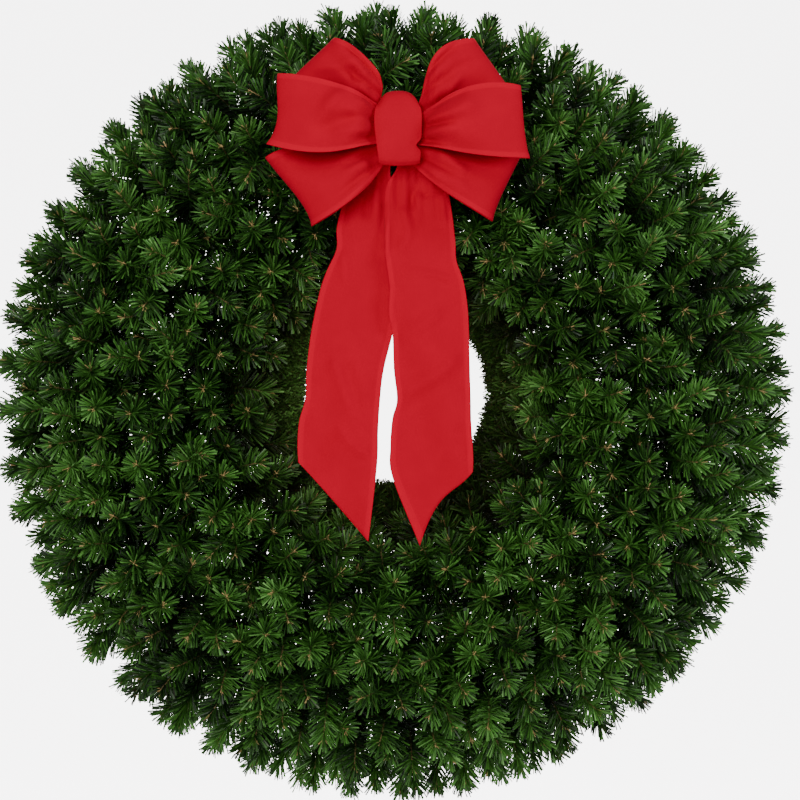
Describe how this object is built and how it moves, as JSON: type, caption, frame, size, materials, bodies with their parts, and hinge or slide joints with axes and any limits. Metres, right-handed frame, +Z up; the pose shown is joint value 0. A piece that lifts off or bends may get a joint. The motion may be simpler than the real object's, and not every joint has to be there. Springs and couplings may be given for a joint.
{
  "type": "christmas wreath",
  "caption": "Large round artificial pine wreath on a wire ring frame, with a velvet ribbon bow at the top whose tails hang over the open middle.",
  "frame": {"origin": "where a hook catches the frame: on the wall plane, at the inside of the outer ring, on the top cross bar", "axes": "+X right and +Z up as seen from the front, -Y out of the wall towards the viewer"},
  "size_m": [1.2191, 0.3031, 1.2173],
  "materials": {
    "needles": "dark green soft plastic needles with a faint satin sheen, mid green on their lit sides, on tan twisted wire stems",
    "frame_wire": "dark green coated steel wire, satin",
    "ribbon": "scarlet velvet ribbon, matt with a soft pile sheen and stitched wired edges",
    "tie_wire": "green coated binding wire, satin"
  },
  "bodies": {
    "root": {"wire_frame": "frame_wire", "sprays_outer_01": "needles", "sprays_outer_02": "needles", "sprays_outer_03": "needles", "sprays_outer_04": "needles", "sprays_outer_05": "needles", "sprays_outer_06": "needles", "sprays_outer_07": "needles", "sprays_outer_08": "needles", "sprays_inner_01": "needles", "sprays_inner_02": "needles", "sprays_inner_03": "needles", "sprays_inner_04": "needles", "sprays_inner_05": "needles", "sprays_inner_06": "needles", "sprays_inner_07": "needles", "sprays_inner_08": "needles", "bow_loops_middle": "ribbon", "bow_loops_top": "ribbon", "bow_loops_low": "ribbon", "bow_knot": "ribbon", "bow_tail_left": "ribbon", "bow_tail_right": "ribbon", "bow_tie_wire": "tie_wire"}
  },
  "joints": []
}
